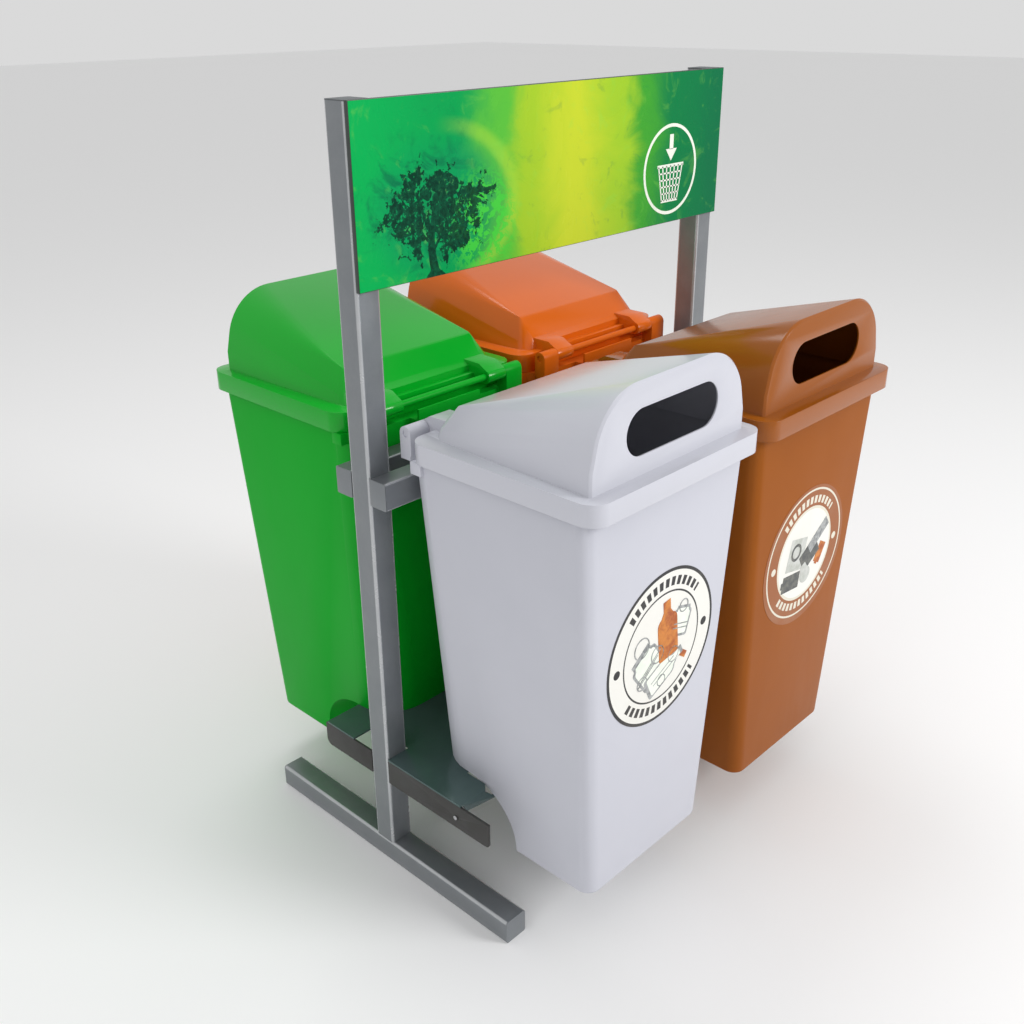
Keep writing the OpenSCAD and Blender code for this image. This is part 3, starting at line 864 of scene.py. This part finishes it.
# The drawings: name, outline or ring, ink and depth of each shape.
ART = {
    "white": (
        ("jar", turned(JAR, 38, (-0.034, -0.026), 1.15), grey_ink, 0.0003),
        ("jar_light", turned(JAR, 38, (-0.034, -0.026), 0.98), white_ink, 0.0004),
        ("jar_lid", turned(stripe(0.054, 0.010), 38, (-0.060, 0.006)), grey_ink, 0.0005),
        ("flask", turned(BOTTLE, -64, (0.012, -0.052)), grey_ink, 0.0006),
        ("flask_light", turned(BOTTLE, -64, (0.012, -0.052), 0.86), white_ink, 0.0007),
        ("beaker", turned(JAR, -16, (0.052, 0.030), 0.85), grey_ink, 0.0003),
        ("beaker_light", turned(JAR, -16, (0.052, 0.030), 0.70), white_ink, 0.0004),
        ("bottle", turned(BOTTLE, 8, (0.014, 0.030), 1.1), amber_ink, 0.0008),
        *(("hoop_%d" % i, (radius, 0.0022, 32, place), grey_ink, 0.0008)
          for i, (radius, place) in enumerate(HOOPS_AT)),
        *(("line_%d" % i, turned(stripe(length, 0.0020), degrees, place), grey_ink, 0.0009)
          for i, (length, degrees, place) in enumerate(LINES_AT)),
        ("cork", turned(stripe(0.022, 0.013), -35, (0.066, -0.042)), amber_ink, 0.0005)),
    "brown": (
        ("case", turned(stripe(0.062, 0.070), -12, (-0.032, 0.012)), pale_ink, 0.0003),
        ("dial", (0.016, 0.006, 48, (-0.034, 0.018)), dark_ink, 0.0005),
        ("cell", turned(CELL, 84, (-0.045, -0.046)), dark_ink, 0.0006),
        ("bulb", turned(BULB, 205, (0.008, -0.040), 0.72), pale_ink, 0.0008),
        ("block", turned(stripe(0.064, 0.046), 32, (0.020, -0.004)), dark_ink, 0.0007),
        ("tube", turned(stripe(0.078, 0.024), 36, (0.048, 0.030)), grey_ink, 0.0008),
        ("tag", turned(CELL, 152, (0.062, -0.016), 0.7), amber_ink, 0.0006)),
    "green": (
        ("leaf", turned(LEAF, -35, (-0.012, 0.004), 1.5), leaf_ink, 0.0003),
        ("leaf_small", turned(LEAF, 30, (0.046, -0.022)), leaf_ink, 0.0005)),
    "orange": (
        ("bottle", turned(BOTTLE, 18, (-0.018, 0.0), 1.2), amber_ink, 0.0003),
        ("jar", turned(JAR, -12, (0.044, -0.020), 0.9), grey_ink, 0.0005)),
}


def print_label(tone):
    piece = copy_of_node(tone + "_label", tone + "_label_sticker")
    smooth(piece, 30)
    piece.data.materials.append(label_material(tone, *LABELS[tone]))
    stand_for(piece, tone + "_body", tone + "_label")
    place = label_frame(tone)
    for key, shape, ink, depth in ART[tone]:
        draw = ring_piece if isinstance(shape, tuple) else flat_piece
        draw(tone + "_art_" + key, shape, place, ink, tone + "_body", depth)


for tone in COLOURS:
    print_label(tone)

# header sheet with a plain white disposal pictogram
sheet = copy_of_node("sign_face", "header_sheet")
bevel_all(sheet, 0.0003, 1)
sheet.data.materials.append(header_print())
stand_for(sheet, "frame", "sign_face")

HEADER_FRONT = -0.03405
SIGN = (Matrix.Translation((0, HEADER_FRONT, 0))
        @ Matrix(((1, 0, 0, 0), (0, 0, -1, 0), (0, 1, 0, 0), (0, 0, 0, 1))))
RING_AT = (0.328, 1.288)
ring_piece("sign_ring", (0.0865, 0.0065, 128, RING_AT), SIGN, white_ink, "frame")


def sign_piece(name, outline):
    flat_piece(name, outline, SIGN, white_ink, "frame")


def bar(x0, z0, x1, z1, width):
    """A straight bar between two points of the header."""
    dx, dz = x1 - x0, z1 - z0
    n = math.hypot(dx, dz)
    ox, oz = -dz / n * width / 2, dx / n * width / 2
    return [(x0 - ox, z0 - oz), (x1 - ox, z1 - oz), (x1 + ox, z1 + oz), (x0 + ox, z0 + oz)]


CX = RING_AT[0]
BASKET_TOP, BASKET_FOOT = 1.296, 1.226
STAVES, HOOPS = 7, 4
sign_piece("sign_basket_rim", bar(CX - 0.044, BASKET_TOP, CX + 0.044, BASKET_TOP, 0.0062))
sign_piece("sign_basket_foot", bar(CX - 0.028, BASKET_FOOT, CX + 0.028, BASKET_FOOT, 0.0055))
for i in range(STAVES):
    f = i / (STAVES - 1) - 0.5
    sign_piece("sign_basket_stave_%d" % i,
               bar(CX + 0.080 * f, BASKET_TOP, CX + 0.052 * f, BASKET_FOOT, 0.0034))
for i in range(HOOPS):
    z = 1.2815 - 0.0135 * i
    half = 0.0400 - 0.0027 * (i + 1)
    sign_piece("sign_basket_hoop_%d" % i, bar(CX - half, z, CX + half, z, 0.0030))
sign_piece("sign_arrow_stem", bar(CX, 1.357, CX, 1.328, 0.0125))
sign_piece("sign_arrow_head", [(CX, 1.3055), (CX + 0.0185, 1.3290), (CX - 0.0185, 1.3290)])


# ------------------------------------------------------------ floor and light

def stage_material(name, colour):
    mat, _, shader = new_material(name)
    shader.inputs["Base Color"].default_value = colour
    shader.inputs["Roughness"].default_value = 0.8
    return mat


select_none()
bpy.ops.mesh.primitive_plane_add(size=60, location=(0, 0, 0))
floor = bpy.context.object
floor.name = "studio_floor"
floor.data.materials.append(stage_material("studio_floor", (0.90, 0.90, 0.90, 1)))

world = bpy.data.worlds.new("studio")
bpy.context.scene.world = world
world.use_nodes = True
sky = world.node_tree.nodes["Background"]
sky.inputs["Color"].default_value = (1.0, 1.0, 1.0, 1)
sky.inputs["Strength"].default_value = 0.70


def soft_light(name, place, aim, size, power):
    lamp = bpy.data.lights.new(name, "AREA")
    lamp.shape = "DISK"
    lamp.size = size
    lamp.energy = power
    obj = bpy.data.objects.new(name, lamp)
    obj.location = place
    obj.rotation_euler = (Vector(aim) - Vector(place)).to_track_quat("-Z", "Y").to_euler()
    bpy.context.scene.collection.objects.link(obj)


soft_light("key", (2.0, -4.4, 3.0), (0, -0.2, 0.7), 2.0, 125)
soft_light("left_fill", (-4.4, -0.6, 2.6), (0, 0, 0.6), 1.6, 14)
soft_light("top", (0.2, 1.2, 4.4), (0, 0, 0.9), 1.6, 34)

# --------------------------------------------------------------------- camera

# Angles in radians; the focal length is in shares of the sensor's width.
AZ, EL, ROLL = 0.807, 0.4327, -0.0092
CAMERA_AT = (-1.6239, -1.4448, 1.6187)
SENSOR, FOCAL_SHARE = 36, 1123.1 / 1024
toward = Vector((math.sin(AZ) * math.cos(EL), math.cos(AZ) * math.cos(EL), -math.sin(EL)))
right = Vector((math.cos(AZ), -math.sin(AZ), 0))
up = right.cross(toward)
r2 = math.cos(ROLL) * right + math.sin(ROLL) * up
u2 = -math.sin(ROLL) * right + math.cos(ROLL) * up
cam = bpy.data.cameras.new("camera")
cam.lens = SENSOR * FOCAL_SHARE
cam.sensor_width = SENSOR
camera = bpy.data.objects.new("camera", cam)
turn = Matrix((r2, u2, -toward)).transposed().to_4x4()
camera.matrix_world = Matrix.Translation(CAMERA_AT) @ turn
bpy.context.scene.collection.objects.link(camera)
bpy.context.scene.camera = camera
bpy.context.scene.view_settings.view_transform = "Standard"
